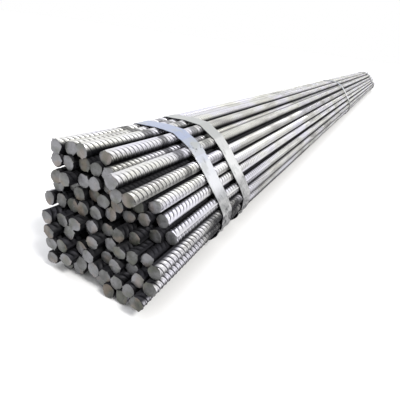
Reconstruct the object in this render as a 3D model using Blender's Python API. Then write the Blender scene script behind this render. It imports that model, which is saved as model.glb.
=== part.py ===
"""A bundle of hot-rolled ribbed reinforcing bars, tied with flat steel straps.

The bars run along X and lie in ten layers, from the ground up. Each layer is one solid: thin webs,
hidden under the middle strap, join its bars. Between the straps the bars lie parallel. Past the last
strap at each end they spread a little, and no two of them end level. Every strap is a strip pulled
tight round the outermost bars, with its ends lapped and welded.

Frame: +X along the bars, +Z up, origin under the middle of the bundle, on the ground.
"""

import math
import random

import bmesh
import bpy
from mathutils import Matrix, Vector
from mathutils.geometry import convex_hull_2d

# Driving dimensions, in metres.
BAR_LENGTH = 6.0
BAR_DIAMETER = 0.025  # nominal size: a plain round of the same mass
OVER_RIBS = 0.0280  # across the ribs
APART = 0.0262  # between the axes of two bars that touch, as the ribs of one lie between the other's
STRAP_WIDTH = 0.0508  # two inches
STRAP_THICKNESS = 0.0012
STRAP_LAP = 0.046  # how far the welded ends of a strap overlap
TOUCH_GAP = 0.0003  # left between pieces that touch

# Each layer, from the ground up: how many bars it has, where across the bundle its right-hand and its
# left-hand bar lie, and how far back the front ends of those two stand.
LAYERS = (
    (6, -0.0645, 0.0670, -0.043, -0.024),
    (8, -0.1057, 0.0880, -0.059, -0.039),
    (9, -0.1170, 0.0926, -0.042, -0.039),
    (9, -0.1185, 0.0911, -0.032, -0.043),
    (9, -0.1040, 0.1056, 0.044, -0.034),
    (9, -0.0834, 0.1262, 0.045, -0.006),
    (8, -0.0650, 0.1185, 0.041, 0.006),
    (7, -0.0450, 0.1122, -0.011, -0.008),
    (6, -0.0200, 0.1110, -0.022, -0.002),
    (4, 0.0325, 0.1111, 0.014, -0.005),
)
# Bars of the top layer that keep a place of their own: how far across and up, and how far back.
ASIDE = {(10, 0): (-0.015, -0.004)}
SET_BACK = {(10, 1): 0.001, (10, 2): 0.004}
# The face that the front ends make: how far back it stands at the heart, and how it leans to the left and up.
FACE = (-0.007, -0.157, 0.231)
FACE_HEIGHT = 0.12
SIDE_REACH = 1.5  # in bars, how far inward the stand of the outer bars is felt
RISE = 0.0236  # from layer to layer
SETTLE = 0.0030  # how far a bar may lie from its place in the pattern
SPLAY = 0.05  # how much wider the bundle is at its free ends, as a share
END_WANDER = 0.0035  # how far a free end may wander from its place
STAGGER = 0.010  # how far most bars stand out or back along the bundle
FLANK_SHARE = 0.15  # of both wanderings, for the bars of the right flank
SUNK = 0.025  # how far further the few sunken bars stand back
SUNK_SHARE = 0.08

# Straps: their middles along the bars, and where round the bundle each one is lapped, in degrees from
# the left-hand side over the top.
STRAPS = (
    ("strap_front_outer", -BAR_LENGTH / 2 + 0.257, 107),
    ("strap_front_inner", -BAR_LENGTH / 2 + 0.381, 20),
    ("strap_middle", -0.300, 62),
    ("strap_rear_inner", BAR_LENGTH / 2 - 0.381, 150),
    ("strap_rear_outer", BAR_LENGTH / 2 - 0.257, 75),
)
WEB_STATION = STRAPS[2][1]
FREE_END = 0.227  # from the end of the bars to the edge of the first strap
WEB_THICKNESS = 0.003
WEB_LENGTH = 0.036
WEB_INSET = 0.005  # how near a bar's own axis a web reaches
BEVEL_RESOLUTION = 4  # gives a bar twelve sides
BAR_SIDES = 12
ARC_STEP = math.radians(18)
SEED = 22

STEEL = (0.42, 0.41, 0.39, 1.0)
STRAP_STEEL = (0.62, 0.64, 0.68, 1.0)

# The corner radius of the many-sided section with the area of the nominal round.
BAR_RADIUS = BAR_DIAMETER / 2 * math.sqrt(
    2 * math.pi / (BAR_SIDES * math.sin(2 * math.pi / BAR_SIDES))
)
LOWEST_AXIS = STRAP_THICKNESS + TOUCH_GAP + OVER_RIBS / 2


def clear_scene():
    for obj in list(bpy.data.objects):
        bpy.data.objects.remove(obj)


def steel(name, colour, roughness):
    material = bpy.data.materials.new(name)
    material.use_nodes = True
    shader = material.node_tree.nodes["Principled BSDF"]
    shader.inputs["Base Color"].default_value = colour
    shader.inputs["Metallic"].default_value = 1.0
    shader.inputs["Roughness"].default_value = roughness
    return material


# The pattern of the bars. A place is a 2D vector: across the bundle, then up.


def settle(places, grounded):
    """Moves places apart until no two bars are nearer than APART. The first ones, grounded, stay level."""
    for _ in range(400):
        moved = False
        for i, first in enumerate(places):
            for second in places[i + 1 :]:
                apart = second - first
                short = APART - apart.length
                if short > 1e-6:
                    push = apart.normalized() * (short / 2)
                    first -= push
                    second += push
                    moved = True
        for i, place in enumerate(places):
            place.y = LOWEST_AXIS if i < grounded else max(place.y, LOWEST_AXIS)
        if not moved:
            break
    return places


def tied_places(rng):
    """Where the bars lie between the straps, layer after layer, each from the right."""
    places = []
    for level, (count, right, left, _, _) in enumerate(LAYERS, start=1):
        height = LOWEST_AXIS + (level - 1) * RISE
        for k in range(count):
            wander = Vector((rng.uniform(-SETTLE, SETTLE), rng.uniform(-SETTLE, SETTLE)))
            share = 1.0 if k else FLANK_SHARE
            place = Vector((right + (left - right) * k / (count - 1), height))
            places.append(place + wander * share + Vector(ASIDE.get((level, k), (0, 0))))
    settle(places, LAYERS[0][0])
    middle = (min(p.x for p in places) + max(p.x for p in places)) / 2
    return [Vector((p.x - middle, p.y)) for p in places]


def end_places(tied, rng):
    """Where the same bars lie at a free end, a little further apart."""
    heart = Vector((0, sum(p.y for p in tied) / len(tied)))
    flank = [k == 0 for layer in LAYERS for k in range(layer[0])]
    places = []
    for place, on_flank in zip(tied, flank):
        wander = Vector(
            (rng.uniform(-END_WANDER, END_WANDER), rng.uniform(-END_WANDER, END_WANDER))
        )
        share = FLANK_SHARE if on_flank else 1.0
        places.append(place + (place - heart) * SPLAY + wander * share)
    return settle(places, LAYERS[0][0])


def staggers(tied, rng):
    """How far each bar stands back along X. A few are sunk further into the bundle."""
    shifts = []
    places = iter(tied)
    for level, (count, _, _, right_back, left_back) in enumerate(LAYERS, start=1):
        members = [next(places) for _ in range(count)]
        last = members[-1]
        for k, place in enumerate(members):
            face = FACE[0] + FACE[1] * place.x + FACE[2] * (place.y - FACE_HEIGHT)
            sunk = SUNK if rng.random() < SUNK_SHARE else 0.0
            wander = rng.uniform(-STAGGER, STAGGER) + sunk
            if k == 0:
                right_extra = right_back - face
            left_face = face + FACE[1] * (last.x - place.x)
            near_right = math.exp(-k / SIDE_REACH)
            near_left = math.exp(-(count - 1 - k) / SIDE_REACH)
            back = face + right_extra * near_right + (left_back - left_face) * near_left
            if 0 < k < count - 1:
                back += wander
            shifts.append(SET_BACK.get((level, k), back))
    middle = (min(shifts) + max(shifts)) / 2
    return [s - middle for s in shifts]


def bar_path(front, tied, rear, shift):
    """The axis of one bar: its two ends, and where it leaves the straps."""
    half = BAR_LENGTH / 2
    knee = half - FREE_END
    share_front = (half - shift - knee) / FREE_END
    share_rear = (half + shift - knee) / FREE_END
    start = tied.lerp(front, share_front)
    end = tied.lerp(rear, share_rear)
    return [
        Vector((shift - half, start.x, start.y)),
        Vector((-knee, tied.x, tied.y)),
        Vector((knee, tied.x, tied.y)),
        Vector((shift + half, end.x, end.y)),
    ]


# Layers of bars.


def bars_mesh(name, paths):
    """One mesh of closed round bars along these paths."""
    curve = bpy.data.curves.new(name, "CURVE")
    curve.dimensions = "3D"
    curve.bevel_depth = BAR_RADIUS
    curve.bevel_resolution = BEVEL_RESOLUTION
    curve.use_fill_caps = True
    for path in paths:
        spline = curve.splines.new("POLY")
        spline.points.add(len(path) - 1)
        for point, place in zip(spline.points, path):
            point.co = (*place, 1)
    guide = bpy.data.objects.new(name + "_axes", curve)
    bpy.context.scene.collection.objects.link(guide)
    bpy.context.view_layer.update()
    evaluated = guide.evaluated_get(bpy.context.evaluated_depsgraph_get())
    mesh = bpy.data.meshes.new_from_object(evaluated)
    bpy.data.objects.remove(guide)
    shape = bmesh.new()
    shape.from_mesh(mesh)
    bmesh.ops.remove_doubles(shape, verts=shape.verts, dist=1e-5)
    bmesh.ops.recalc_face_normals(shape, faces=shape.faces)
    shape.to_mesh(mesh)
    shape.free()
    mesh.shade_smooth()
    mesh.set_sharp_from_angle(angle=math.radians(60))
    return mesh


def webs_mesh(name, places):
    """Thin plates from each bar of a layer to the next one, all at the middle strap."""
    shape = bmesh.new()
    for here, there in zip(places, places[1:]):
        middle = (here + there) / 2
        across = there - here
        size = Vector((WEB_LENGTH, across.length - 2 * WEB_INSET, WEB_THICKNESS))
        tilt = math.atan2(across.y, across.x)
        bmesh.ops.create_cube(
            shape,
            size=1.0,
            matrix=Matrix.Translation((WEB_STATION, middle.x, middle.y))
            @ Matrix.Rotation(tilt, 4, "X")
            @ Matrix.Diagonal((*size, 1)),
        )
    mesh = bpy.data.meshes.new(name)
    shape.to_mesh(mesh)
    shape.free()
    return mesh


def bar_layer(name, paths, places, material, collection, helpers):
    layer = bpy.data.objects.new(name, bars_mesh(name, paths))
    layer.data.materials.clear()
    layer.data.materials.append(material)
    collection.objects.link(layer)
    webs = bpy.data.objects.new(name + "_webs", webs_mesh(name + "_webs", places))
    webs.hide_render = True
    webs.display_type = "WIRE"
    helpers.objects.link(webs)
    join = layer.modifiers.new("webs", "BOOLEAN")
    join.operation = "UNION"
    join.object = webs
    return layer


# Straps.


def girth(centres, radius):
    """A band pulled tight round circles of this radius: points and outward directions, anticlockwise
    from the lowest point on the right."""
    hull = [centres[i] for i in convex_hull_2d(centres)]
    area = sum(a.cross(b) for a, b in zip(hull, hull[1:] + hull[:1]))
    if area < 0:
        hull.reverse()
    outline = []
    for before, here, after in zip(hull[-1:] + hull[:-1], hull, hull[1:] + hull[:1]):
        arriving = math.atan2(-(here - before).x, (here - before).y)
        leaving = math.atan2(-(after - here).x, (after - here).y)
        turn = (leaving - arriving) % math.tau
        steps = max(1, math.ceil(turn / ARC_STEP))
        for k in range(steps + 1):
            angle = arriving + turn * k / steps
            outward = Vector((math.cos(angle), math.sin(angle)))
            outline.append((here + outward * radius, outward))
    lowest = min(
        range(len(outline)), key=lambda i: (round(outline[i][0].y, 5), -outline[i][0].x)
    )
    return outline[lowest:] + outline[:lowest]


def lapped(outline, start, length, inner, outer):
    """The outline pushed outwards by inner, or by outer along the lap."""
    ends = (start, start + length)
    points = []
    travelled = 0.0
    for (here, here_out), (there, there_out) in zip(outline, outline[1:] + outline[:1]):
        step = (there - here).length
        height = outer if ends[0] < travelled < ends[1] else inner
        points.append(here + here_out * height)
        for end, low, high in ((ends[0], inner, outer), (ends[1], outer, inner)):
            if travelled < end <= travelled + step:
                share = (end - travelled) / step
                place = here.lerp(there, share)
                outward = here_out.lerp(there_out, share).normalized()
                points += [place + outward * low, place + outward * high]
        travelled += step
    return points


def travelled_to(outline, heart, degrees):
    """How far round the outline it crosses this direction from the heart."""
    aim = Vector((math.cos(math.radians(degrees)), math.sin(math.radians(degrees))))
    travelled = 0.0
    for (here, _), (there, _) in zip(outline, outline[1:]):
        before, after = aim.cross(here - heart), aim.cross(there - heart)
        step = (there - here).length
        if before <= 0 < after and aim.dot(here - heart) > 0:
            return travelled + step * before / (before - after)
        travelled += step
    raise ValueError(f"the outline never crosses {degrees} degrees")


def strap(name, station, lap_at, centres, material, collection):
    inside = girth(centres, OVER_RIBS / 2 + TOUCH_GAP)
    heart = sum((p for p, _ in inside), Vector((0, 0))) / len(inside)
    start = travelled_to(inside, heart, lap_at) - STRAP_LAP / 2
    outside = lapped(inside, start, STRAP_LAP, STRAP_THICKNESS, 2 * STRAP_THICKNESS)
    curve = bpy.data.curves.new(name, "CURVE")
    curve.dimensions = "2D"
    curve.fill_mode = "BOTH"
    curve.extrude = STRAP_WIDTH / 2
    for points in ([p for p, _ in inside], outside):
        spline = curve.splines.new("POLY")
        spline.points.add(len(points) - 1)
        for point, place in zip(spline.points, points):
            point.co = (place.x, place.y, 0, 1)
        spline.use_cyclic_u = True
    curve.materials.append(material)
    band = bpy.data.objects.new(name, curve)
    # The outline is drawn in the curve's own XY plane, which becomes the world's YZ plane.
    band.matrix_world = Matrix.Translation((station, 0, 0)) @ Matrix(
        ((0, 0, 1, 0), (1, 0, 0, 0), (0, 1, 0, 0), (0, 0, 0, 1))
    )
    collection.objects.link(band)
    return band


def build():
    clear_scene()
    bundle = bpy.data.collections.new("rebar_bundle")
    helpers = bpy.data.collections.new("helpers")
    for collection in (bundle, helpers):
        bpy.context.scene.collection.children.link(collection)
    bar_steel = steel("bar_steel", STEEL, 0.42)
    strap_steel = steel("strap_steel", STRAP_STEEL, 0.25)

    rng = random.Random(SEED)
    tied = tied_places(rng)
    front = end_places(tied, rng)
    rear = end_places(tied, rng)
    shifts = staggers(tied, rng)
    paths = [bar_path(*bar) for bar in zip(front, tied, rear, shifts)]

    first = 0
    for level, (count, *_) in enumerate(LAYERS, start=1):
        members = slice(first, first + count)
        name = f"bar_layer_{level:02d}"
        bar_layer(name, paths[members], tied[members], bar_steel, bundle, helpers)
        first += count
    for name, station, lap_at in STRAPS:
        strap(name, station, lap_at, tied, strap_steel, bundle)


build()
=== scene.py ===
"""A bundle of ribbed reinforcing bars tied with flat steel straps, on a pale studio floor."""

import math
import random

import bpy
import numpy as np
from mathutils import Matrix, Vector
from mathutils.geometry import convex_hull_2d


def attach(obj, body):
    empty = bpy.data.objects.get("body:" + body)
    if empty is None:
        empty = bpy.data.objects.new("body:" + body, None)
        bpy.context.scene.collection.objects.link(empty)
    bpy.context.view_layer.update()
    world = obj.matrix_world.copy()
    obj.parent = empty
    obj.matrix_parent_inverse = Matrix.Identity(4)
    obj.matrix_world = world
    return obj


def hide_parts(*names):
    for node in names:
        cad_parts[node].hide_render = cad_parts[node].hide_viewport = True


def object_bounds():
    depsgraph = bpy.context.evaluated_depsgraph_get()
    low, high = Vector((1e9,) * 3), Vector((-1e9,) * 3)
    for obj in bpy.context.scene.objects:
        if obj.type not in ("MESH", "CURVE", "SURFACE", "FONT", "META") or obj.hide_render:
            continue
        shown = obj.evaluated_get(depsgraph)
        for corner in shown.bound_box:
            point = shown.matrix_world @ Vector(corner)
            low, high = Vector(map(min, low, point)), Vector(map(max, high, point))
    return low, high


bl_info = {
    "name": "Rebar Bundle",
    "version": (1, 0, 0),
    "blender": (4, 5, 0),
    "location": "3D View > Sidebar > Rebar Bundle",
    "description": "Ribbed bars, steel straps and a studio for a strapped bundle of rebar",
    "category": "Object",
}

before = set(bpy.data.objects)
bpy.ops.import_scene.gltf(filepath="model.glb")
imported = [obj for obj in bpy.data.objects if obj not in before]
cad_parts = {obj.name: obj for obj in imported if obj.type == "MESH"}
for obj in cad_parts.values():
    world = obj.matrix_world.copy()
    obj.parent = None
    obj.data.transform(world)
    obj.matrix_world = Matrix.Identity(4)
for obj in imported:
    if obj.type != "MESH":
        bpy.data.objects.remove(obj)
CAD_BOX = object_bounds()

LAYER_NAMES = sorted(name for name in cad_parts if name.startswith("bar_layer"))
STRAP_NAMES = sorted(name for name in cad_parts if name.startswith("strap"))
BARS_IN_ALL = 75
FREE_ENDS_FROM = 2.85  # every bar's end lies beyond this far along X, and its last bend before it
BEND_SEARCH = 0.1  # how far before that the last bend is looked for
BEND_LENGTH = 0.012  # over which a bar bends where it leaves the straps
WELD = 2e-5  # points of a node nearer than this are taken as one
WAYS = np.arange(0, 360, 10)  # directions round a bar, in degrees
SEEN = (WAYS >= 70) & (WAYS <= 230)  # those from which the camera's side of the bundle is open
NEIGHBOUR_AHEAD = 0.004  # a bar counts as in the way from this far ahead
NEIGHBOUR_ASIDE = 0.0150  # and up to this far to either side
PLAIN_RINGS = 14  # on the stretch of a bar whose ribs are left to the material
BETWEEN_RIDGES = 7  # columns between two lengthwise ribs
FULLNESS = 0.75  # the lower, the fuller the ends of a cross rib
TURN_STEP = 9  # degrees between a strap's points where it turns round a bar
CUT, RIBBED, TONE, HIDDEN = 0, 1, 2, 3  # what the four channels of a bar's marks hold

# Which way a bar's first longitudinal rib points at the front, in degrees from the left over the top,
# counted in each layer from the right.
TURNED = {
    ("bar_layer_10", 0): 88,
    ("bar_layer_10", 1): 80,
    ("bar_layer_10", 2): 70,
    ("bar_layer_09", 0): 92,
    ("bar_layer_08", 0): 32,
    ("bar_layer_07", 0): 26,
    ("bar_layer_06", 0): 184,
    ("bar_layer_05", 0): 146,
    ("bar_layer_04", 0): 64,
    ("bar_layer_04", 1): 150,
    ("bar_layer_03", 0): 58,
    ("bar_layer_03", 1): 150,
    ("bar_layer_02", 0): 66,
}
SEEN_TURN, SEEN_WANDER = 52, 0.2  # the same for other bars in view, and the share of chance in it

SKY_REFLECTION_SHARE = {"strap_front_outer": 1.0, "strap_front_inner": 0.0}  # how strongly the painted sky reflection colours the top of a strap

# How far in front of the middle the dark bands and the dark low patch lie.
FIRST_BAND, SECOND_BAND, LOW_PATCH = 2.812, 2.682, 2.735
BAND_COVER, LOW_PATCH_COVER, GAP_SHADE_COVER = 0.74, 0.93, 0.965  # how much of the steel each hides; the last is painted shade deep in the bundle

# ---------------------------------------------------------------------------------------------
# Sizes and finishes that can be changed in the sidebar.
# ---------------------------------------------------------------------------------------------


def length(name, description, default, low, high):
    return bpy.props.FloatProperty(
        name=name, description=description, default=default, min=low, max=high, precision=5,
        subtype="DISTANCE", unit="LENGTH",
    )


def share(name, description, default):
    return bpy.props.FloatProperty(
        name=name, description=description, default=default, min=0.0, max=1.0, subtype="FACTOR"
    )


def colour(name, description, default):
    return bpy.props.FloatVectorProperty(
        name=name, description=description, default=default, size=3, min=0.0, max=1.0, subtype="COLOR"
    )


def angle(name, description, degrees):
    return bpy.props.FloatProperty(
        name=name, description=description, default=math.radians(degrees), subtype="ANGLE", unit="ROTATION"
    )


class RebarSizes(bpy.types.PropertyGroup):
    core: length("Core", "Diameter of the bar between its ribs", 0.0250, 0.004, 0.06)
    over_ribs: length("Over ribs", "Diameter across the ribs", 0.0280, 0.005, 0.07)
    pitch: length("Rib spacing", "From one cross rib to the next", 0.0125, 0.003, 0.04)
    rib_foot: length("Rib foot", "Width of a cross rib where it leaves the core", 0.0046, 0.001, 0.02)
    rib_crest: length("Rib crest", "Width of a cross rib at its top", 0.0016, 0.0003, 0.01)
    slant: angle("Rib slant", "Angle between a cross rib and the bar's axis", 68)
    ridge_foot: length("Ridge foot", "Width of a lengthwise rib where it leaves the core", 0.0044, 0.001, 0.01)
    ridge_crest: length("Ridge crest", "Width of a lengthwise rib at its top", 0.0025, 0.0005, 0.01)
    shown_reach: length("Shown reach", "Cut ribs on the bars in full view, from the front", 1.25, 0.05, 3)
    outer_reach: length("Outer reach", "Cut ribs on the other outer bars, from both ends", 0.33, 0.05, 3)
    inner_reach: length("Inner reach", "Cut ribs on the bars inside, from both ends", 0.095, 0.02, 3)
    squash: share("Squash", "How far the shears press a bar's end out of round", 0.09)
    spread: share("Spread", "How much wider the shears leave a bar's end", 0.070)
    seed: bpy.props.IntProperty(name="Seed", description="Sets every random choice", default=41, min=0)


class StrapSizes(bpy.types.PropertyGroup):
    width: length("Width", "Width of a strap", 0.0508, 0.01, 0.1)
    thickness: length("Thickness", "Thickness of a strap", 0.0012, 0.0003, 0.003)
    gap: length("Gap", "Left between a strap and the ribs under it", 0.0003, 0.0, 0.002)
    lap: length("Lap", "How far the two ends of a strap overlap", 0.046, 0.01, 0.12)
    ripple: length("Ripple", "How far a strap's edge strays where it turns under the bundle", 0.0042, 0.0, 0.006)


class SteelFinish(bpy.types.PropertyGroup):
    bright: colour("Bright steel", "Clean rolled surface", (0.83, 0.83, 0.77))
    cool: colour("Cool steel", "Bluer patches of the clean surface", (0.80, 0.79, 0.87))
    scale: colour("Mill scale", "Greyer patches of rolling scale", (0.40, 0.39, 0.39))
    # Also the colour of the painted shade and shadows on the bars and straps.
    grime_and_shade: colour("Grime", "Dark bands and the feet of the ribs", (0.018, 0.018, 0.022))
    cut_pale: colour("Pale cut", "A freshly sheared end", (0.27, 0.27, 0.285))
    cut_dark: colour("Dark cut", "An older sheared end", (0.075, 0.077, 0.068))
    rust: colour("Rust", "Thin brown bloom", (0.30, 0.22, 0.16))
    oil: colour("Oil", "Greenish film on some of the ends", (0.13, 0.14, 0.10))
    strap: colour("Strap steel", "Bright strapping", (0.98, 0.98, 0.98))
    # Painted sky reflection for the top of a strap.
    strap_sky_reflection: colour("Blued strap", "Lavender-blue cast on the top of a strap", (0.46, 0.52, 0.70))
    # Rubbed strapping, and the dim grey painted as the reflection on the top of straps with no sky reflection.
    strap_rubbed_and_dim_top: colour("Dull strap", "Handled and rubbed strapping", (0.54, 0.555, 0.55))
    roughness: share("Roughness", "Of the bars", 0.36)
    strap_roughness: share("Strap roughness", "Of the straps", 0.30)


class StudioLook(bpy.types.PropertyGroup):
    floor: colour("Floor", "Colour of the floor", (0.93, 0.93, 0.93))
    sky: colour("Surroundings", "Colour of the light from all round", (1.0, 1.0, 1.0))
    sky_strength: bpy.props.FloatProperty(
        name="Surroundings strength", description="Brightness of the light from all round",
        default=1.0, min=0.0,
    )
    dim: bpy.props.FloatProperty(
        name="Dim side", description="Brightness of the surroundings in front of the bars' ends",
        default=0.75, min=0.0,
    )
    key_strength: bpy.props.FloatProperty(
        name="Key strength", description="Strength of the large soft lamp", default=2.2, min=0.0
    )
    lens: bpy.props.FloatProperty(
        name="Lens", description="Focal length of the camera", default=32.22, min=1.0,
        subtype="DISTANCE_CAMERA",
    )
    camera_place: bpy.props.FloatVectorProperty(
        name="Camera", description="Where the camera stands", default=(-3.4369, -0.3835, 0.4466),
        size=3, subtype="TRANSLATION", unit="LENGTH",
    )
    camera_right: bpy.props.FloatVectorProperty(
        name="Camera right", description="Direction of the view's right side",
        default=(0.4623, -0.8782, 0.1225), size=3, subtype="DIRECTION",
    )
    camera_up: bpy.props.FloatVectorProperty(
        name="Camera up", description="Direction of the view's top",
        default=(0.3178, 0.2930, 0.9017), size=3, subtype="DIRECTION",
    )


# ---------------------------------------------------------------------------------------------
# Materials.
# ---------------------------------------------------------------------------------------------


class Value:
    """The output of a node, which can be used in sums."""

    def __init__(self, recipe, socket):
        self.recipe = recipe
        self.socket = socket

    def _sum(self, operation, *others, clamp=False):
        settings = {"operation": operation, "use_clamp": clamp}
        return self.recipe.node("ShaderNodeMath", settings, dict(enumerate(others)))

    def __add__(self, other):
        return self._sum("ADD", self, other)

    def __radd__(self, other):
        return self._sum("ADD", other, self)

    def __sub__(self, other):
        return self._sum("SUBTRACT", self, other)

    def __rsub__(self, other):
        return self._sum("SUBTRACT", other, self)

    def __mul__(self, other):
        return self._sum("MULTIPLY", self, other)

    def __rmul__(self, other):
        return self._sum("MULTIPLY", other, self)

    def __truediv__(self, other):
        return self._sum("DIVIDE", self, other)

    def __rtruediv__(self, other):
        return self._sum("DIVIDE", other, self)

    def __abs__(self):
        return self._sum("ABSOLUTE", self)

    def clamped(self):
        return self._sum("ADD", self, 0.0, clamp=True)

    def wrapped(self, high):
        """The remainder after whole steps of this size."""
        return self._sum("WRAP", self, high, 0.0)

    def sine(self):
        return self._sum("SINE", self)

    def rising(self, low, high):
        """0 below low, 1 above high and a smooth rise between."""
        settings = {"interpolation_type": "SMOOTHSTEP"}
        inputs = {"Value": self, "From Min": low, "From Max": high}
        return self.recipe.node("ShaderNodeMapRange", settings, inputs)


class Recipe:
    """The nodes of one material, or of the light from all round."""

    def __init__(self, owner):
        self.owner = owner
        owner.use_nodes = True
        self.tree = owner.node_tree
        self.tree.nodes.clear()

    def node(self, kind, settings=None, inputs=None, output=0):
        """Adds a node with these settings and inputs, and returns one of its outputs."""
        made = self.tree.nodes.new(kind)
        for key, value in (settings or {}).items():
            setattr(made, key, value)
        for key, value in (inputs or {}).items():
            if isinstance(value, Value):
                self.tree.links.new(value.socket, made.inputs[key])
            else:
                made.inputs[key].default_value = value
        return None if output is None else Value(self, made.outputs[output])

    def mix(self, amount, first, second):
        """Colours first and second, mixed."""
        paints = [c if isinstance(c, Value) else (*c, 1.0) for c in (first, second)]
        inputs = {0: amount, 6: paints[0], 7: paints[1]}
        return self.node("ShaderNodeMix", {"data_type": "RGBA"}, inputs, 2)

    def place(self):
        """Where a point is on the object, and its three coordinates."""
        where = Value(self, self.node("ShaderNodeTexCoord").socket.node.outputs["Object"])
        split = self.node("ShaderNodeSeparateXYZ", None, {0: where}).socket.node
        return where, [Value(self, output) for output in split.outputs]

    def marks(self):
        """The three colour channels of a mesh's marks, and the fourth one."""
        held = self.node("ShaderNodeAttribute", {"attribute_name": "marks"}).socket.node
        read = Value(self, held.outputs["Color"])
        split = self.node("ShaderNodeSeparateColor", None, {0: read}).socket.node
        return [Value(self, output) for output in split.outputs], Value(self, held.outputs["Alpha"])

    def upward(self):
        """How far the surface faces up: 1 on top, 0 upright and -1 underneath."""
        facing = Value(self, self.node("ShaderNodeNewGeometry").socket.node.outputs["Normal"])
        return Value(self, self.node("ShaderNodeSeparateXYZ", None, {0: facing}).socket.node.outputs["Z"])

    def stretched(self, where, factors):
        return self.node("ShaderNodeVectorMath", {"operation": "MULTIPLY"}, {0: where, 1: factors})

    def noise(self, where, scale, detail=3.0, rough=0.5):
        inputs = {"Vector": where, "Scale": scale, "Detail": detail, "Roughness": rough}
        return self.node("ShaderNodeTexNoise", None, inputs)

    def map(self, name):
        """The two coordinates of a mesh's own map."""
        read = self.node("ShaderNodeUVMap", {"uv_map": name})
        split = self.node("ShaderNodeSeparateXYZ", None, {0: read}).socket.node
        return [Value(self, output) for output in split.outputs[:2]]

    def bump(self, height, distance, strength=1.0, after=None):
        inputs = {"Height": height, "Distance": distance, "Strength": strength}
        if after is not None:
            inputs["Normal"] = after
        return self.node("ShaderNodeBump", None, inputs)

    def finish(self, **inputs):
        """Ends the recipe with one Principled shader."""
        named = {key.replace("_", " "): value for key, value in inputs.items()}
        shader = self.node("ShaderNodeBsdfPrincipled", None, named)
        self.node("ShaderNodeOutputMaterial", None, {"Surface": shader}, None)
        return self.owner


def rib_height(recipe, sizes):
    """Height of the cross ribs from 0 to 1, read off the bar's own map: round the bar, then along it."""
    around, along = recipe.map("bar")
    step = along.wrapped(sizes.pitch)
    slope = (sizes.rib_foot - sizes.rib_crest) / 2
    from_middle = abs(step - sizes.rib_foot / 2)
    ridge = (1.0 - (from_middle - sizes.rib_crest / 2) / slope).clamped()
    crescent = abs((around * math.tau).sine())
    return ridge * (crescent * 1.25).clamped(), around, along


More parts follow.
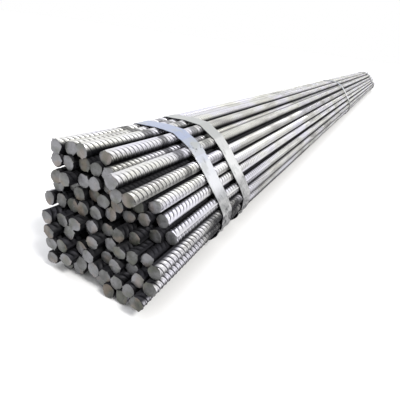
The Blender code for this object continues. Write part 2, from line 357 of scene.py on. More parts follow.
def bar_steel(sizes, finish):
    """Bright rolled steel with grey scale, dark bands, a painted shadow at the ribs' feet, painted shade deep in
    the bundle and underneath, and sheared ends.
    """
    recipe = Recipe(bpy.data.materials.new("bar_steel"))
    where, (x, _, z) = recipe.place()
    (cut, ribbed, tone), hidden = recipe.marks()
    upward = recipe.upward()
    rib, around, along = rib_height(recipe, sizes)

    streaks = recipe.noise(recipe.stretched(where, (0.10, 1.0, 1.0)), 62.0, 4.0, 0.6)
    clouds = recipe.noise(recipe.stretched(where, (0.35, 1.0, 1.0)), 14.0, 3.0)
    grain = recipe.noise(where, 620.0, 2.0)
    specks = recipe.noise(where, 190.0, 3.0, 0.65)

    scaled = streaks.rising(0.42, 0.66) * 0.55 + clouds.rising(0.45, 0.70) * 0.45
    scaled = (scaled + (tone - 0.5) * 0.45).clamped()
    rolled = recipe.mix(clouds.rising(0.36, 0.62), finish.cool, finish.bright)
    skin = recipe.mix(scaled, rolled, finish.scale)
    bloom = (specks.rising(0.60, 0.72) * clouds.rising(0.40, 0.62) * 0.35).clamped()
    skin = recipe.mix(bloom, skin, finish.rust)
    # A painted shadow line lies just behind each rib, and two sets of dark bands cross the upper bars.
    rib_shadow_line = 1.0 - abs(along.wrapped(sizes.pitch) - sizes.rib_foot * 1.15).rising(0.0012, 0.0030)
    beside_ridge = (abs((around * math.tau).sine()) * 1.8 - 0.15).clamped()
    # The painted rib shadow, left off along the lengthwise ribs.
    foot = (rib_shadow_line * beside_ridge * (0.82 + tone * 0.15)).clamped()
    wander = (recipe.noise(where, 23.0, 2.0) - 0.5) * 0.035 + (tone - 0.5) * 0.012
    high = z.rising(0.125, 0.215)
    first = 1.0 - abs(x + FIRST_BAND + wander).rising(0.010, 0.020)
    second = (1.0 - abs(x + SECOND_BAND + wander).rising(0.010, 0.020)) * z.rising(0.165, 0.235) * 0.8
    band = ((first * high + second) * (specks.rising(0.22, 0.50) * 0.35 + 0.65)).clamped()
    # Painted shade: darker deep in the bundle, where neighbouring bars close a bar in, and on faces turned
    # sideways or down, more so low on the bundle.
    painted_gap_shade = hidden.rising(0.20, 0.75) * GAP_SHADE_COVER
    under = (0.55 - upward).rising(0.0, 0.95) * (0.78 + (0.13 - z).rising(0.0, 0.07) * 0.20)
    # A dark patch spreads low on the flanks, from under the two front straps.
    low_patch = 1.0 - abs(x + LOW_PATCH + wander).rising(0.060, 0.135)
    low_patch = low_patch * (0.118 - z + wander).rising(0.0, 0.030)
    low_patch = low_patch * (0.70 + specks.rising(0.30, 0.55) * 0.30)
    # The painted shade and rib shadows join the dark bands and the low patch here in one darkening.
    clean_and_lit = (1.0 - foot) * (1.0 - band * BAND_COVER) * (1.0 - painted_gap_shade) * (1.0 - under)
    dirt_and_shade = (1.0 - clean_and_lit * (1.0 - low_patch * LOW_PATCH_COVER)).clamped()
    skin = recipe.mix(dirt_and_shade, skin, finish.grime_and_shade)

    shade = (recipe.noise(where, 48.0, 3.0).rising(0.30, 0.70) * 0.50 + tone * 0.80 - 0.15).clamped()
    face = recipe.mix(shade, finish.cut_pale, finish.cut_dark)
    rusted = (recipe.noise(where, 33.0, 1.0).rising(0.52, 0.66) * 0.30).clamped()
    face = recipe.mix(rusted, face, finish.rust)
    oiled = (recipe.noise(where, 41.0, 1.0).rising(0.50, 0.64) * 0.35).clamped()
    face = recipe.mix(oiled, face, finish.oil)
    smear = recipe.noise(recipe.stretched(where, (1.0, 1.0, 0.25)), 900.0, 2.0)
    face = recipe.mix((smear.rising(0.55, 0.75) * 0.35).clamped(), face, finish.grime_and_shade)
    base = recipe.mix(cut, skin, face)

    rough = finish.roughness + (streaks - 0.5) * 0.22 + (grain - 0.5) * 0.10 + scaled * 0.10
    rough = (rough + dirt_and_shade * 0.30) * (1.0 - cut) + (0.52 + (grain - 0.5) * 0.2) * cut
    metal = 1.0 - cut * 0.30

    raised = recipe.bump(rib * ribbed * (1.0 - cut), (sizes.over_ribs - sizes.core) / 2)
    fine = grain * 0.35 + specks * 0.65 + smear * cut * 1.5
    return recipe.finish(
        Base_Color=base,
        Roughness=rough.clamped(),
        Metallic=metal,
        Normal=recipe.bump(fine, 0.00022, 0.7, raised),
    )


def strap_steel(finish):
    """Cold-rolled strapping: fine lines along it, rubbed patches, dull welded laps, a painted sky reflection on
    top and painted shade low down.
    """
    recipe = Recipe(bpy.data.materials.new("strap_steel"))
    where, (_, _, z) = recipe.place()
    (lap, edge, sky_reflection), _ = recipe.marks()
    upward = recipe.upward()
    across, along = recipe.map("strap")
    lined = recipe.node("ShaderNodeCombineXYZ", None, {0: across * 900.0, 1: along * 9.0})
    lines = recipe.noise(lined, 1.0, 3.0, 0.6)
    patches = recipe.noise(where, 24.0, 4.0, 0.6)
    smudge = recipe.noise(where, 75.0, 2.0)
    painted_crease_shade = recipe.noise(recipe.stretched(where, (1.0, 0.6, 0.6)), 170.0, 3.0, 0.7).rising(0.44, 0.60)
    rubbed = (patches.rising(0.48, 0.68) * 0.6 + lines.rising(0.52, 0.70) * 0.35 + lap * 0.35).clamped()
    # Painted reflection: faces turned up take the sky's lavender-blue or a dim grey, the others the bright strap
    # colour.
    top = recipe.mix(sky_reflection, finish.strap_rubbed_and_dim_top, finish.strap_sky_reflection)
    sheen = recipe.mix(upward.rising(0.50, 0.92), finish.strap, top)
    base = recipe.mix(rubbed, sheen, finish.strap_rubbed_and_dim_top)
    # Painted shade: a strap darkens on faces turned down and low on the bundle, broken up by crease-like noise.
    low = (0.40 - upward).rising(0.0, 0.50) * 0.35 + (0.150 - z).rising(0.0, 0.030) * 0.65
    smudges = smudge.rising(0.58, 0.72) * (0.30 * patches.rising(0.40, 0.60) + 0.45 * lap)
    dark = (edge * 0.5 + smudges + low * (0.74 + painted_crease_shade * 0.26)).clamped()
    base = recipe.mix(dark, base, finish.grime_and_shade)
    rough = finish.strap_roughness + (lines - 0.5) * 0.18 + rubbed * 0.12 + dark * 0.2
    normal = recipe.bump(lines * 0.3 + recipe.noise(where, 55.0, 2.0) * 2.2, 0.0003, 0.6)
    return recipe.finish(Base_Color=base, Roughness=rough.clamped(), Metallic=1.0, Normal=normal)


def floor_paint(look):
    recipe = Recipe(bpy.data.materials.new("studio_floor"))
    where, _ = recipe.place()
    soft = recipe.noise(where, 1.5, 2.0)
    base = recipe.mix((soft * 0.06).clamped(), look.floor, (0.86, 0.86, 0.87))
    return recipe.finish(Base_Color=base, Roughness=0.85, Specular_IOR_Level=0.15)


# ---------------------------------------------------------------------------------------------
# Meshes.
# ---------------------------------------------------------------------------------------------


def mesh_from(name, points, triangles, map_name, places, marks, material, sharp_degrees):
    """A mesh with a map and marks on the corners of its triangles."""
    mesh = bpy.data.meshes.new(name)
    mesh.vertices.add(len(points))
    mesh.vertices.foreach_set("co", points.astype(np.float32).ravel())
    mesh.loops.add(triangles.size)
    mesh.loops.foreach_set("vertex_index", triangles.astype(np.int32).ravel())
    mesh.polygons.add(len(triangles))
    mesh.polygons.foreach_set("loop_start", np.arange(0, triangles.size, 3, dtype=np.int32))
    mesh.update(calc_edges=True)
    laid = mesh.uv_layers.new(name=map_name)
    laid.uv.foreach_set("vector", places.astype(np.float32).ravel())
    held = mesh.attributes.new("marks", "FLOAT_COLOR", "CORNER")
    held.data.foreach_set("color", marks.astype(np.float32).ravel())
    mesh.materials.append(material)
    mesh.shade_smooth()
    mesh.set_sharp_from_angle(angle=math.radians(sharp_degrees))
    if mesh.validate():
        raise RuntimeError(f"{name} came out with broken faces")
    return mesh


def stand_for(mesh, node):
    """Puts the mesh in the scene as the piece shown for a CAD node."""
    piece = bpy.data.objects.new(mesh.name, mesh)
    bpy.context.scene.collection.objects.link(piece)
    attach(piece, "root")
    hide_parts(node)


def node_shape(name):
    """A CAD node's points, each one once, and its triangles."""
    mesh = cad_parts[name].data
    mesh.calc_loop_triangles()
    points = np.empty(len(mesh.vertices) * 3)
    mesh.vertices.foreach_get("co", points)
    points = points.reshape(-1, 3)
    corners = np.empty(len(mesh.loop_triangles) * 3, np.int32)
    mesh.loop_triangles.foreach_get("vertices", corners)
    _, first, number = np.unique(np.round(points / WELD), axis=0, return_index=True, return_inverse=True)
    return points[first], number.reshape(-1)[corners].reshape(-1, 3)


def joined_groups(triangles, chosen):
    """The chosen points in groups that triangles join."""
    inside = triangles[chosen[triangles].all(axis=1)]
    label = np.arange(len(chosen))
    while True:
        lowest = label[inside].min(axis=1)
        before = label.copy()
        for corner in range(3):
            np.minimum.at(label, inside[:, corner], lowest)
        label = label[label]
        if (label == before).all():
            break
    return [np.flatnonzero((label == value) & chosen) for value in np.unique(label[chosen])]


def free_ends(points, triangles, side):
    """Each bar's end and the bend before it, at one end of the bundle."""
    found = []
    for group in joined_groups(triangles, side * points[:, 0] > FREE_ENDS_FROM - BEND_SEARCH):
        ring = points[group]
        outside = side * ring[:, 0] > FREE_ENDS_FROM
        found.append((ring[outside].mean(axis=0), ring[~outside].mean(axis=0)))
    return found


def bar_axes(name):
    """The axes of a layer's bars, from the right: front end, front bend, rear bend, rear end."""
    points, triangles = node_shape(name)
    fronts, rears = (free_ends(points, triangles, side) for side in (-1, 1))
    axes = []
    for end, bend in fronts:
        far = min(rears, key=lambda rear: np.hypot(*(rear[1] - bend)[1:]))
        axes.append(np.array([end, bend, far[1], far[0]]))
    return sorted(axes, key=lambda axis: axis[1][1])


def exposure(places):
    """For each bar, how open its surface is, from 0 to 1, in each of the directions WAYS round it."""
    shown = []
    for here in places:
        clear = np.ones(len(WAYS))
        for n, degrees in enumerate(WAYS):
            way = np.array([math.cos(math.radians(degrees)), math.sin(math.radians(degrees))])
            offset = places - here
            ahead = offset @ way
            aside = np.abs(offset[:, 0] * way[1] - offset[:, 1] * way[0])
            if ((ahead > NEIGHBOUR_AHEAD) & (aside < NEIGHBOUR_ASIDE)).any():
                clear[n] = 0.0
        shown.append(clear)
    return shown


def bend_share(distance):
    """How far along its bent end a bar is, growing smoothly from 0 at the bend."""
    return BEND_LENGTH * np.logaddexp(0.0, distance / BEND_LENGTH - 1.0)


def axis_at(axis, x):
    """Where across the bundle the bar's axis is, at these places along X."""
    front, bend, far_bend, rear = axis
    passed = np.clip((x - bend[0]) / (far_bend[0] - bend[0]), 0, 1)[..., None]
    across = bend[1:] + (far_bend[1:] - bend[1:]) * passed
    for end, start, side in ((front, bend, -1), (rear, far_bend, 1)):
        grown = bend_share(side * (x - start[0])) / bend_share(side * (end[0] - start[0]))
        across = across + (end[1:] - start[1:]) * grown[..., None]
    return across


def column_angles(sizes):
    """Angles round a bar, with four columns on each lengthwise rib and the rest between them."""
    core, over = sizes.core / 2, sizes.over_ribs / 2
    foot, crest = sizes.ridge_foot / 2 / core, sizes.ridge_crest / 2 / over
    between = np.linspace(foot, math.pi - foot, BETWEEN_RIDGES + 2)[1:-1]
    half = np.concatenate([[-foot, -crest, crest, foot], between])
    angles = np.concatenate([half, half + math.pi])
    on_ridge = np.tile(np.concatenate([[0, 1, 1, 0], np.zeros(BETWEEN_RIDGES)]), 2)
    reach = np.clip((np.concatenate([half, half]) - foot) / (math.pi - 2 * foot), 0, 1)
    crescent = np.sin(math.pi * reach) ** FULLNESS
    lean = np.concatenate([reach[: len(half)] * 2 - 1, 1 - reach[len(half) :] * 2])
    return angles, on_ridge, crescent * (reach > 0), lean


def rib_profile(along, sizes):
    """Height of the cross ribs from 0 to 1 at these places along a bar."""
    step = np.mod(along, sizes.pitch)
    slope = (sizes.rib_foot - sizes.rib_crest) / 2
    return np.clip(1 - (np.abs(step - sizes.rib_foot / 2) - sizes.rib_crest / 2) / slope, 0, 1)


def stations(total, front_reach, rear_reach, phase, sizes):
    """Places of the rings along one bar, and for each step whether its ribs are left to the material."""
    slope = (sizes.rib_foot - sizes.rib_crest) / 2
    in_rib = np.array([0, slope, slope + sizes.rib_crest, sizes.rib_foot])
    margin = 2 * sizes.pitch

    def ribs(low, high):
        first, last = math.floor(low / sizes.pitch), math.ceil(high / sizes.pitch)
        return (np.arange(first, last)[:, None] * sizes.pitch + in_rib).ravel() - phase

    front = ribs(-margin, front_reach)
    rear = ribs(total - rear_reach, total + margin)
    plain = np.linspace(front[-1], rear[0], PLAIN_RINGS + 2)[1:-1]
    places = np.concatenate([front, plain, rear])
    steps_plain = np.zeros(len(places) - 1)
    steps_plain[len(front) - 1 : len(front) + len(plain)] = 1
    return places, steps_plain


class BarBuilder:
    """Collects the bars of one layer into one mesh."""

    TWIST = 0.10  # the most that a bar turns about its axis, in radians a metre
    TILTS = (0.05, 0.07)  # the most that a sheared end leans sideways and upwards
    WAVES = ((2, 1.0), (3, 0.35), (5, 0.22))  # bulges round a sheared end, and their shares of the squash
    SQUASH_REACH, SPREAD_REACH = 0.010, 0.008  # how far from the end each dies away
    ROLLED_IN, ROLL_REACH = 0.035, 0.0007  # how far a sheared edge is rolled in, and from how far back
    FAN = (-35, -18, 0, 18, 35)  # directions beside a place that may be open, in degrees
    FACE_RINGS = ((0.93, 0.0005), (0.72, 0.0008), (0.40, 0.0009))  # of a sheared face: width, and how far out
    TORN = (0.0004, 0.0016)  # how deep the broken part of a sheared face may lie
    UNEVEN = 0.00022  # how far its points may stray
    HEART = (0.0002, 0.0012)  # how far out its middle may stand
    FACE_MAP = 4.0  # map units a metre on it
    SHARP = 44  # degrees between faces from which their edge shows

    def __init__(self, sizes, rng):
        self.sizes = sizes
        self.rng = rng
        self.points, self.triangles, self.places, self.marks = [], [], [], []
        self.count = 0

    def add(self, points, triangles, places, marks):
        self.points.append(points)
        self.triangles.append(triangles + self.count)
        self.places.append(places)
        self.marks.append(marks)
        self.count += len(points)

    def bar(self, axis, turned, clear, front_reach, rear_reach):
        sizes, rng = self.sizes, self.rng
        angles, on_ridge, crescent, lean = column_angles(sizes)
        columns = len(angles)
        total = axis[3][0] - axis[0][0]
        core, height = sizes.core / 2, (sizes.over_ribs - sizes.core) / 2
        sloped = math.pi * core / math.tan(sizes.slant) / 2 * lean
        phase = rng.uniform(0, sizes.pitch)
        rings, steps_plain = stations(total, front_reach, rear_reach, phase, sizes)
        twist = rng.uniform(-self.TWIST, self.TWIST)
        tone = rng.random()

        cuts = [[rng.uniform(-most, most) for most in self.TILTS] for _ in range(2)]
        squashed = [
            [
                (k, rng.uniform(0.15, 1.0) * sizes.squash * most, rng.uniform(0, math.tau))
                for k, most in self.WAVES
            ]
            for _ in range(2)
        ]
        facing = turned + angles
        limits = [core * (a * np.cos(facing) + b * np.sin(facing)) for a, b in cuts]
        low, high = limits[0], total + limits[1]

        nominal = rings[:, None] + sloped[None, :]
        first = (nominal <= low).sum(axis=0) - 1
        last = len(rings) - (nominal >= high).sum(axis=0)
        placed = np.clip(nominal, low, high)
        along = placed - sloped
        ribs = rib_profile(along + phase, sizes) * crescent
        # Where no ribs are cut in the mesh, the surface is the plain core.
        plain_ring = np.zeros(len(rings), bool)
        plain_ring[1:] |= steps_plain > 0
        plain_ring[:-1] |= steps_plain > 0
        ribs = np.where(plain_ring[:, None], 0.0, ribs)
        radius = core + height * np.maximum(ribs, on_ridge[None, :])

        turn = facing[None, :] + twist * placed
        for end_at, waves in ((low, squashed[0]), (high, squashed[1])):
            near = np.exp(-np.abs(placed - end_at) / self.SQUASH_REACH)
            for k, size, start in waves:
                radius = radius * (1 + size * near * np.cos(k * turn + start))
            radius = radius * (1 + sizes.spread * np.exp(-np.abs(placed - end_at) / self.SPREAD_REACH))
        # The edge of a sheared end is rolled in a little.
        edge = np.minimum(placed - low, high - placed)
        radius = radius * (1 - self.ROLLED_IN * np.exp(-edge / self.ROLL_REACH))

        x = axis[0][0] + placed
        across = axis_at(axis, x)
        left, up = across[..., 0] + radius * np.cos(turn), across[..., 1] + radius * np.sin(turn)
        points = np.stack([x, left, up], axis=-1)
        number = np.clip(np.arange(len(rings))[:, None], first, last) * columns + np.arange(columns)
        # A place is as hidden as the directions beside it are closed.
        fanned = [np.interp(np.degrees(turn) + aside, WAYS, clear, period=360) for aside in self.FAN]
        hidden = 1 - np.mean(fanned, axis=0)

        i, j = np.meshgrid(np.arange(len(rings) - 1), np.arange(columns), indexing="ij")
        i, j = i.ravel(), j.ravel()
        k = (j + 1) % columns
        around = np.append(angles, angles[0] + math.tau) / math.tau

        def corner(ring, column, wrap):
            spot = number[ring, column]
            shown = np.stack([around[wrap], along[ring, column] + phase, hidden[ring, column]], axis=-1)
            return spot, shown

        a, b = corner(i, j, j), corner(i, k, j + 1)
        c, d = corner(i + 1, k, j + 1), corner(i + 1, j, j)
        halves = ((a, b, c), (a, c, d))
        triangles = np.concatenate([np.stack([spot for spot, _ in half], axis=-1) for half in halves])
        places = np.concatenate([np.stack([shown for _, shown in half], axis=1) for half in halves])
        plain = np.tile(steps_plain[i], 2)
        # Where rings are pressed together at a slanted end, triangles with no area are left out.
        kept = (triangles != np.roll(triangles, 1, axis=1)).all(axis=1)
        triangles, places, plain = triangles[kept], places[kept], plain[kept]
        marks = np.zeros((len(triangles), 3, 4))
        marks[:, :, RIBBED] = plain[:, None]
        marks[:, :, TONE] = tone
        marks[:, :, HIDDEN] = places[:, :, 2]
        places = places[:, :, :2]

        used, renumbered = np.unique(triangles, return_inverse=True)
        triangles = renumbered.reshape(-1, 3)
        points = points.reshape(-1, 3)[used]
        rims = [np.searchsorted(used, number[0]), np.searchsorted(used, number[-1])]
        caps, start = [], len(points)
        for rim, end, side in ((rims[0], axis[0], -1), (rims[1], axis[3], 1)):
            caps.append(self.cap(points, rim, axis_at(axis, np.array(end[0])), side, start, tone))
            start += len(caps[-1][0])
        points = np.concatenate([points] + [cap[0] for cap in caps])
        whole = np.concatenate([triangles] + [cap[1] for cap in caps])
        places = np.concatenate([places.reshape(-1, 2)] + [cap[2] for cap in caps])
        marks = np.concatenate([marks.reshape(-1, 4)] + [cap[3] for cap in caps])
        self.add(points, whole, places, marks)

    def cap(self, points, rim, centre, side, start, tone):
        """A sheared end: a rolled rim and a face broken lower down."""
        rng = self.rng
        ring = points[rim]
        middle = np.array([ring[:, 0].mean(), *centre])
        columns = len(rim)
        lean = rng.uniform(0, math.tau)
        torn = rng.uniform(*self.TORN)
        made, faces = [], []
        before = rim
        for reach, out in self.FACE_RINGS:
            inward = middle + (ring - middle) * reach
            turn = np.arctan2(ring[:, 2] - middle[2], ring[:, 1] - middle[1])
            dip = np.where(np.cos(turn - lean) > 0.2, torn * (1 - reach), 0.0)
            rough = np.array([rng.uniform(-self.UNEVEN, self.UNEVEN) for _ in range(columns)])
            inward[:, 0] = middle[0] + (ring[:, 0] - middle[0]) * reach + side * (out - dip + rough)
            here = start + len(made) * columns + np.arange(columns)
            made.append(inward)
            after_before, after_here = np.roll(before, -1), np.roll(here, -1)
            faces.append(np.stack([before, here, after_here], -1))
            faces.append(np.stack([before, after_here, after_before], -1))
            before = here
        top = middle + np.array([side * rng.uniform(*self.HEART), 0, 0])
        heart = start + len(made) * columns
        faces.append(np.stack([before, np.full(columns, heart), np.roll(before, -1)], -1))
        faces = np.concatenate(faces)
        if side > 0:
            faces = faces[:, ::-1]
        added = np.concatenate(made + [top[None, :]])
        everything = np.concatenate([points, np.zeros((start - len(points), 3)), added])
        flat = (everything[faces] - middle)[:, :, 1:] * self.FACE_MAP
        marks = np.zeros((faces.size, 4))
        marks[:, CUT] = 1.0
        marks[:, TONE] = tone
        return added, faces, flat.reshape(-1, 2), marks

    def mesh(self, name, material):
        return mesh_from(
            name, np.concatenate(self.points), np.concatenate(self.triangles), "bar",
            np.concatenate(self.places), np.concatenate(self.marks), material, self.SHARP,
        )


def strap_line(places, reach):
    """A line pulled tight round the bars, anticlockwise from the lowest point on the right: its points,
    their outward directions and how far round they are. It is straight between its turns."""
    centres = [Vector(place) for place in places]
    hull = [centres[i] for i in convex_hull_2d(centres)]
    if sum(a.cross(b) for a, b in zip(hull, hull[1:] + hull[:1])) < 0:
        hull.reverse()
    line = []
    for before, here, after in zip(hull[-1:] + hull[:-1], hull, hull[1:] + hull[:1]):
        arriving = math.atan2(-(here - before).x, (here - before).y)
        leaving = math.atan2(-(after - here).x, (after - here).y)
        turn = (leaving - arriving) % math.tau
        steps = max(1, math.ceil(turn / math.radians(TURN_STEP)))
        for k in range(steps + 1):
            way = arriving + turn * k / steps
            outward = Vector((math.cos(way), math.sin(way)))
            line.append((here + outward * reach, outward))
    lowest = min(range(len(line)), key=lambda i: (round(line[i][0].y, 5), -line[i][0].x))
    line = line[lowest:] + line[:lowest]
    points = np.array([tuple(p) for p, _ in line + line[:1]])
    ways = np.array([tuple(w) for _, w in line + line[:1]])
    travelled = np.concatenate([[0], np.cumsum(np.hypot(*np.diff(points, axis=0).T))])
    keep = np.concatenate([[True], np.diff(travelled) > 1e-7])
    return points[keep], ways[keep], travelled[keep]


class StrapBuilder:
    """One strap: a flat strip drawn tight round the bars, its outer end welded over its inner end."""

    ACROSS = np.array([-1.0, -0.985, -0.94, -0.5, 0.0, 0.5, 0.94, 0.985, 1.0])
    STEP = 0.003
    CLIMB = 0.010  # how far before the lap the outer end leaves the bars
    LAP_GAP = 0.00005  # left between the two ends at the lap
    LOW, LOW_FADE = 0.085, 0.05  # the height below which the strip strays, and how far the stray grows over
    EDGE_STRAY = 0.0018  # how far its edges wander along the bundle there
    FAINT = 0.00012  # how far it stands off anywhere
    LAP_MARGIN = 0.002  # how far before the lap its look starts
    EDGE_FROM = 0.96  # share of half the width from which the look of the edges starts
    SHARP = 35  # degrees between faces from which their edge shows

    def __init__(self, sizes, line, station, lap_middle, rng):
        self.sizes, self.line, self.station = sizes, line, station
        self.round = line[2][-1]
        self.start = lap_middle - sizes.lap / 2
        self.phases = [rng.uniform(0, math.tau) for _ in range(4)]

    def strip(self):
        """Distances travelled by the strip, from its inner end, and how high it lies over the bars."""
        sizes = self.sizes
        whole = self.round + sizes.lap
        t = np.unique(np.concatenate([
            np.arange(0, whole, self.STEP), [whole], self.round + np.array([-self.CLIMB, -0.006, -0.003, 0.0])
        ]))
        lift = np.clip((t - (self.round - self.CLIMB)) / self.CLIMB, 0, 1)
        lift = lift * lift * (3 - 2 * lift) * (sizes.thickness + self.LAP_GAP)
        return t, lift

    def mesh(self, name, sky_reflection, material):
        sizes = self.sizes
        points, ways, travelled = self.line
        t, lift = self.strip()
        s = np.mod(self.start + t, self.round)
        place = np.stack([np.interp(s, travelled, points[:, k]) for k in range(2)], -1)
        way = np.stack([np.interp(s, travelled, ways[:, k]) for k in range(2)], -1)
        way /= np.hypot(*way.T)[:, None]
        # The strip strays a little where it turns under the bundle at the lower right.
        low = np.clip((self.LOW - place[:, 1]) / self.LOW_FADE, 0, 1)
        low = low * np.clip(way[:, 0] * -1.2 + 0.2, 0, 1)
        across = self.ACROSS
        wave = np.sin(s[:, None] * 260 + self.phases[0] + across * 1.3) * 0.6
        wave = wave + np.sin(s[:, None] * 117 + self.phases[1] - across * 0.9) * 0.4
        stray = sizes.ripple * low[:, None] * (np.abs(across) ** 1.5) * (wave * 0.5 + 0.5)
        edge_wave = self.EDGE_STRAY * low[:, None] * np.sin(s[:, None] * 190 + self.phases[2])
        faint = self.FAINT * (np.sin(s * 45 + self.phases[3]) * 0.5 + 0.5)[:, None]
        inner = lift[:, None] + stray + faint
        rounding = np.where(np.abs(across) > 0.97, 0.06, 0.0)
        rounding = np.where(np.abs(across) > 0.99, 0.28, rounding) * sizes.thickness
        sheets = []
        for height in (inner + rounding, inner + sizes.thickness - rounding):
            x = self.station + across * sizes.width / 2 + edge_wave * np.sign(across)
            spot = place[:, None, :] + way[:, None, :] * height[..., None]
            spot[..., 1] = np.maximum(spot[..., 1], 0.0)
            sheets.append(np.stack([np.broadcast_to(x, height.shape), spot[..., 0], spot[..., 1]], -1))
        under, over = sheets
        rows, columns = len(t), len(across)
        grid = np.arange(rows * columns).reshape(rows, columns)
        outside = grid + rows * columns
        sides = (
            (outside[:-1, :-1], outside[:-1, 1:], outside[1:, 1:], outside[1:, :-1]),
            (grid[:-1, :-1], grid[1:, :-1], grid[1:, 1:], grid[:-1, 1:]),
            (grid[:-1, 0], outside[:-1, 0], outside[1:, 0], grid[1:, 0]),
            (grid[:-1, -1], grid[1:, -1], outside[1:, -1], outside[:-1, -1]),
            (grid[0, :-1], grid[0, 1:], outside[0, 1:], outside[0, :-1]),
            (grid[-1, :-1], outside[-1, :-1], outside[-1, 1:], grid[-1, 1:]),
        )
        quads = np.concatenate([np.stack(corners, -1).reshape(-1, 4) for corners in sides])
        triangles = np.concatenate([quads[:, [0, 1, 2]], quads[:, [0, 2, 3]]])
        shape = np.concatenate([under.reshape(-1, 3), over.reshape(-1, 3)])
        first, second, third = (shape[triangles[:, corner]] for corner in range(3))
        if (first * np.cross(second - first, third - first)).sum() < 0:
            triangles = triangles[:, ::-1]
        column = np.tile(np.broadcast_to(across, (rows, columns)).ravel(), 2)
        run = np.tile(np.broadcast_to(t[:, None], (rows, columns)).ravel(), 2)
        places = np.stack([column[triangles] * sizes.width / 2, run[triangles]], -1)
        on_lap = (run[triangles] > self.round - self.LAP_MARGIN).astype(float)
        at_edge = (np.abs(column[triangles]) > self.EDGE_FROM).astype(float)
        marks = np.stack([on_lap, at_edge, np.full_like(on_lap, sky_reflection), np.ones_like(on_lap)], -1)
        return mesh_from(name, shape, triangles, "strap", places, marks, material, self.SHARP)


# ---------------------------------------------------------------------------------------------
# Operators.
# ---------------------------------------------------------------------------------------------


def all_axes():
    return {name: bar_axes(name) for name in LAYER_NAMES}


class REBAR_OT_add_bars(bpy.types.Operator):
    """Adds the ribbed bars, one mesh for each layer of the bundle"""

    bl_idname = "rebar.add_bars"
    bl_label = "Add Ribbed Bars"
    bl_options = {"REGISTER", "UNDO"}

    def execute(self, context):
        sizes, finish = context.scene.rebar_sizes, context.scene.rebar_finish
        layers = all_axes()
        if sum(map(len, layers.values())) != BARS_IN_ALL:
            raise RuntimeError(f"found {sum(map(len, layers.values()))} bars and not {BARS_IN_ALL}")
        tied = np.array([axis[1][1:] for axes in layers.values() for axis in axes])
        shown = iter(exposure(tied))
        rng = random.Random(sizes.seed)
        material = bar_steel(sizes, finish)
        for name, axes in layers.items():
            builder = BarBuilder(sizes, rng)
            for k, axis in enumerate(axes):
                clear = next(shown)
                in_view = clear[SEEN].any()
                reach = sizes.outer_reach if clear.any() else sizes.inner_reach
                turned = rng.uniform(0, 360)
                if in_view:
                    turned = SEEN_TURN + (turned - 180) * SEEN_WANDER
                turned = TURNED.get((name, k), turned)
                front_reach = sizes.shown_reach if in_view else reach
                builder.bar(axis, math.radians(turned), clear, front_reach, reach)
            stand_for(builder.mesh(name.replace("bar_layer", "bars"), material), name)
        return {"FINISHED"}


class REBAR_OT_add_straps(bpy.types.Operator):
    """Adds the flat steel straps with their welded laps"""

    bl_idname = "rebar.add_straps"
    bl_label = "Add Straps"
    bl_options = {"REGISTER", "UNDO"}

    def execute(self, context):
        sizes, bars = context.scene.rebar_strap_sizes, context.scene.rebar_sizes
        material = strap_steel(context.scene.rebar_finish)
        tied = np.array([axis[1][1:] for axes in all_axes().values() for axis in axes])
        line = strap_line(tied, bars.over_ribs / 2 + sizes.gap)
        rng = random.Random(bars.seed + 1)
        for name in STRAP_NAMES:
            points, _ = node_shape(name)
            station = (points[:, 0].min() + points[:, 0].max()) / 2
            # The lap is where the node stands two thicknesses off the line.
            spots = points[:, 1:]
            along, off = nearest_on(line, spots)
            raised = off > sizes.thickness * 1.5
            if not raised.any():
                raise RuntimeError(f"{name} shows no lap")
            middle = (along[raised].min() + along[raised].max()) / 2
            builder = StrapBuilder(sizes, line, station, middle, rng)
            sky_reflection = SKY_REFLECTION_SHARE.get(name, rng.random())
            stand_for(builder.mesh(name.replace("strap", "band"), sky_reflection, material), name)
        return {"FINISHED"}


def nearest_on(line, spots):
    """For each spot, how far round the line its nearest place is, and how far off it the spot lies."""
    points, _, travelled = line
    fine = np.linspace(0, travelled[-1], 6000)
    dense = np.stack([np.interp(fine, travelled, points[:, k]) for k in range(2)], -1)
    gaps = np.hypot(spots[:, None, 0] - dense[None, :, 0], spots[:, None, 1] - dense[None, :, 1])
    nearest = gaps.argmin(axis=1)
    return fine[nearest], gaps[np.arange(len(spots)), nearest]


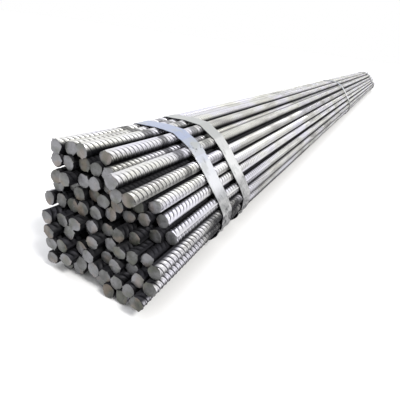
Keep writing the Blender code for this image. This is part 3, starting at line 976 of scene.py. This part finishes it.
class REBAR_OT_add_studio(bpy.types.Operator):
    """Adds the pale floor, the soft lights and the camera"""

    bl_idname = "rebar.add_studio"
    bl_label = "Add Studio"
    bl_options = {"REGISTER", "UNDO"}

    FLOOR_REACH = 60.0  # from its middle to its edges

    def execute(self, context):
        look = context.scene.rebar_studio
        self.add_floor(context, look)
        self.add_lights(context, look)
        self.add_camera(context, look)
        context.scene.view_settings.view_transform = "Standard"
        return {"FINISHED"}

    def add_floor(self, context, look):
        low = min(CAD_BOX[0].z, 0.0)
        mesh = bpy.data.meshes.new("studio_floor")
        reach = self.FLOOR_REACH
        corners = [(x * reach, y * reach, low) for x, y in ((-1, -1), (1, -1), (1, 1), (-1, 1))]
        mesh.from_pydata(corners, [], [(0, 1, 2, 3)])
        mesh.materials.append(floor_paint(look))
        floor = bpy.data.objects.new("studio_floor", mesh)
        context.scene.collection.objects.link(floor)

    def add_lights(self, context, look):
        world = bpy.data.worlds.new("studio_surroundings")
        context.scene.world = world
        recipe = Recipe(world)
        ways = recipe.node("ShaderNodeTexCoord").socket.node.outputs["Generated"]
        split = recipe.node("ShaderNodeSeparateXYZ", None, {0: Value(recipe, ways)}).socket.node
        ahead = Value(recipe, split.outputs["X"])
        strength = look.dim + (look.sky_strength - look.dim) * ahead.rising(-0.35, 0.65)
        shade = recipe.node("ShaderNodeBackground", None, {"Color": (*look.sky, 1.0), "Strength": strength})
        recipe.node("ShaderNodeOutputWorld", None, {"Surface": shade}, None)
        lamps = (
            # name, how far ahead, to the left and up it stands, strength, softness in degrees, colour
            ("key", (-0.20, -0.75, 1.00), look.key_strength, 16, (1.0, 0.985, 0.96)),
            ("top", (0.10, 0.35, 1.00), look.key_strength * 0.35, 55, (0.88, 0.90, 1.0)),
        )
        for name, way, strength, softness, tint in lamps:
            light = bpy.data.lights.new(name, "SUN")
            light.energy = strength
            light.angle = math.radians(softness)
            light.color = tint
            lamp = bpy.data.objects.new(name, light)
            lamp.rotation_euler = Vector(way).to_track_quat("Z", "Y").to_euler()
            context.scene.collection.objects.link(lamp)

    def add_camera(self, context, look):
        data = bpy.data.cameras.new("camera")
        data.lens = look.lens
        data.sensor_width = 36.0
        data.clip_start = 0.02
        data.clip_end = 200.0
        camera = bpy.data.objects.new("camera", data)
        right, up = Vector(look.camera_right).normalized(), Vector(look.camera_up)
        up = (up - right * up.dot(right)).normalized()
        back = right.cross(up)
        turned = Matrix((right, up, back)).transposed().to_4x4()
        camera.matrix_world = Matrix.Translation(look.camera_place) @ turned
        context.scene.collection.objects.link(camera)
        context.scene.camera = camera


class REBAR_PT_panel(bpy.types.Panel):
    """Steps that build the rebar bundle"""

    bl_label = "Rebar Bundle"
    bl_idname = "REBAR_PT_panel"
    bl_space_type = "VIEW_3D"
    bl_region_type = "UI"
    bl_category = "Rebar Bundle"

    def draw(self, context):
        scene = context.scene
        for title, settings, operators in (
            ("Bars", scene.rebar_sizes, (REBAR_OT_add_bars,)),
            ("Straps", scene.rebar_strap_sizes, (REBAR_OT_add_straps,)),
            ("Finishes", scene.rebar_finish, ()),
            ("Studio", scene.rebar_studio, (REBAR_OT_add_studio,)),
        ):
            box = self.layout.box()
            box.label(text=title)
            for key in settings.bl_rna.properties.keys():
                if key not in ("rna_type", "name"):
                    box.prop(settings, key)
            for operator in operators:
                box.operator(operator.bl_idname)


CLASSES = (
    RebarSizes,
    StrapSizes,
    SteelFinish,
    StudioLook,
    REBAR_OT_add_bars,
    REBAR_OT_add_straps,
    REBAR_OT_add_studio,
    REBAR_PT_panel,
)
SETTINGS = {
    "rebar_sizes": RebarSizes,
    "rebar_strap_sizes": StrapSizes,
    "rebar_finish": SteelFinish,
    "rebar_studio": StudioLook,
}


def register():
    for made in CLASSES:
        bpy.utils.register_class(made)
    for name, group in SETTINGS.items():
        setattr(bpy.types.Scene, name, bpy.props.PointerProperty(type=group))


def unregister():
    for name in SETTINGS:
        delattr(bpy.types.Scene, name)
    for made in reversed(CLASSES):
        bpy.utils.unregister_class(made)


def main():
    register()
    bpy.ops.rebar.add_bars()
    bpy.ops.rebar.add_straps()
    bpy.ops.rebar.add_studio()


if __name__ == "__main__":
    main()
